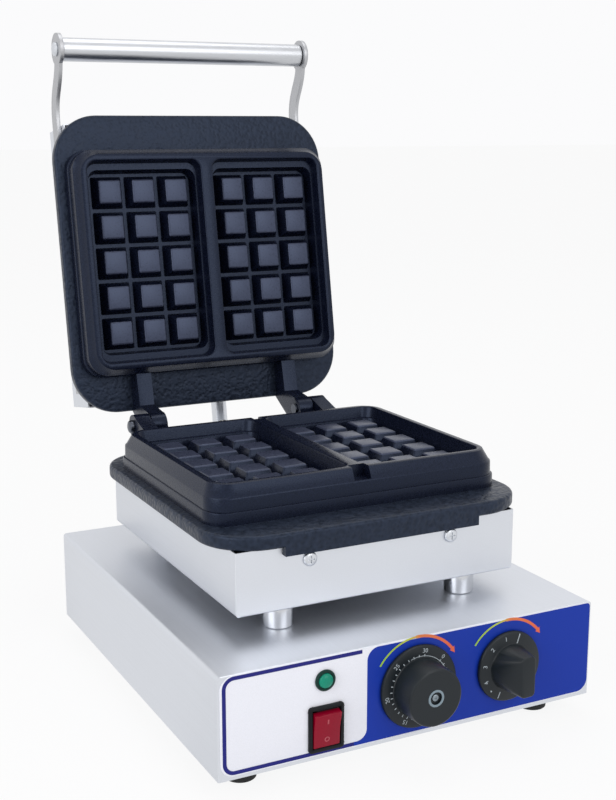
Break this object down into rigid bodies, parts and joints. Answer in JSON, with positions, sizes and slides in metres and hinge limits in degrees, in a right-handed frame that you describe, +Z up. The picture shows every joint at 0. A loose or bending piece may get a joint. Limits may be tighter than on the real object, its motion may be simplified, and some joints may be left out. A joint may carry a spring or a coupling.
{
  "type": "commercial waffle maker",
  "caption": "Steel countertop waffle maker with hinged cast plates, lid handle tube, timer, thermostat, rocker switch and pilot lamp.",
  "frame": {"origin": "on the table, under the middle of the machine's bounding box with its lid open at rest", "axes": "+X to the right as one faces the controls, +Y from the front panel to the rear, +Z up"},
  "size_m": [0.27, 0.4318, 0.4578],
  "materials": {
    "base_casing": "brushed stainless sheet",
    "bottom_plate": "plain stainless sheet",
    "cable_gland": "black plastic",
    "clamps": "plain steel",
    "elements": "dull heater sheath",
    "feet": "matt black rubber",
    "front_panel": "printed sheet, blue and white",
    "handle_arms": "satin steel strap",
    "handle_bolts": "polished bolt head",
    "handle_rivets": "steel rivet",
    "handle_tube": "polished stainless tube",
    "heater_box": "brushed stainless sheet",
    "heater_box_screws": "polished screw heads",
    "hinge_pins": "dark steel",
    "insulation": "matt mineral board",
    "lead_sleeve": "turned steel",
    "lid_conduit": "flexible steel conduit",
    "lid_cover": "brushed stainless sheet",
    "lid_cover_screws": "polished screw heads",
    "lower_conduit_fitting": "plain brass",
    "pilot_lamp_body": "dark bezel",
    "pilot_lamp_lens": "translucent green lens",
    "shafts": "turned steel",
    "standoffs": "polished steel",
    "switch_housing": "black plastic",
    "switch_rocker": "translucent red plastic",
    "terminal_block": "pale plastic",
    "thermostat_body": "plated steel",
    "thermostat_bulb": "copper tube",
    "thermostat_knob": "black plastic with white marks",
    "timer_body": "pale plastic",
    "timer_knob": "black plastic with white marks",
    "upper_conduit_fitting": "polished steel",
    "waffle_plates": "black non-stick casting",
    "wiring_loom": "glass-fibre sleeving"
  },
  "bodies": {
    "base": {"base_casing": "base_casing", "bottom_plate": "bottom_plate", "cable_gland": "cable_gland", "foot_front_left": "feet", "foot_front_right": "feet", "foot_rear_left": "feet", "foot_rear_right": "feet", "front_panel": "front_panel", "heater_box": "heater_box", "heater_box_screw_front_left": "heater_box_screws", "heater_box_screw_front_right": "heater_box_screws", "heater_box_screw_rear_left": "heater_box_screws", "heater_box_screw_rear_right": "heater_box_screws", "hinge_pin_left": "hinge_pins", "hinge_pin_right": "hinge_pins", "lead_sleeve": "lead_sleeve", "lid_conduit": "lid_conduit", "lower_clamp_screw": "clamps", "lower_conduit_fitting": "lower_conduit_fitting", "lower_element": "elements", "lower_element_clamp": "clamps", "lower_insulation": "insulation", "lower_plate": "waffle_plates", "pilot_lamp_body": "pilot_lamp_body", "pilot_lamp_lens": "pilot_lamp_lens", "standoff_front_left": "standoffs", "standoff_front_right": "standoffs", "standoff_rear_left": "standoffs", "standoff_rear_right": "standoffs", "switch_housing": "switch_housing", "terminal_block": "terminal_block", "thermostat_body": "thermostat_body", "thermostat_bulb": "thermostat_bulb", "timer_body": "timer_body", "wiring_loom": "wiring_loom"},
    "lid": {"handle_arm_left": "handle_arms", "handle_arm_right": "handle_arms", "handle_arm_rivet_front_left": "handle_rivets", "handle_arm_rivet_front_right": "handle_rivets", "handle_arm_rivet_rear_left": "handle_rivets", "handle_arm_rivet_rear_right": "handle_rivets", "handle_bolt_left": "handle_bolts", "handle_bolt_right": "handle_bolts", "handle_tube": "handle_tube", "lid_cover": "lid_cover", "lid_cover_screw_front_left": "lid_cover_screws", "lid_cover_screw_front_right": "lid_cover_screws", "lid_cover_screw_rear_left": "lid_cover_screws", "lid_cover_screw_rear_right": "lid_cover_screws", "upper_clamp_screw": "clamps", "upper_conduit_fitting": "upper_conduit_fitting", "upper_element": "elements", "upper_element_clamp": "clamps", "upper_insulation": "insulation", "upper_plate": "waffle_plates"},
    "timer_control": {"timer_knob": "timer_knob", "timer_shaft": "shafts"},
    "thermostat_control": {"thermostat_knob": "thermostat_knob", "thermostat_shaft": "shafts"},
    "rocker": {"switch_rocker": "switch_rocker"}
  },
  "joints": [
    {"name": "lid_hinge", "type": "hinge", "parent": "base", "child": "lid", "pos_m": [0, 0.09114, 0.1625], "axis": [1, 0, 0], "range_deg": [0, 99.8], "deforming": ["lid_conduit"]},
    {"name": "timer_turn", "type": "hinge", "parent": "base", "child": "timer_control", "pos_m": [-0.0005, -0.20386, 0.048], "axis": [0, 1, 0], "range_deg": [0, 300]},
    {"name": "thermostat_turn", "type": "hinge", "parent": "base", "child": "thermostat_control", "pos_m": [0.0674, -0.20386, 0.048], "axis": [0, 1, 0], "range_deg": [0, 270]},
    {"name": "switch_rock", "type": "hinge", "parent": "base", "child": "rocker", "pos_m": [-0.0649, -0.18836, 0.0342], "axis": [-1, 0, 0], "range_deg": [0, 16]}
  ]
}
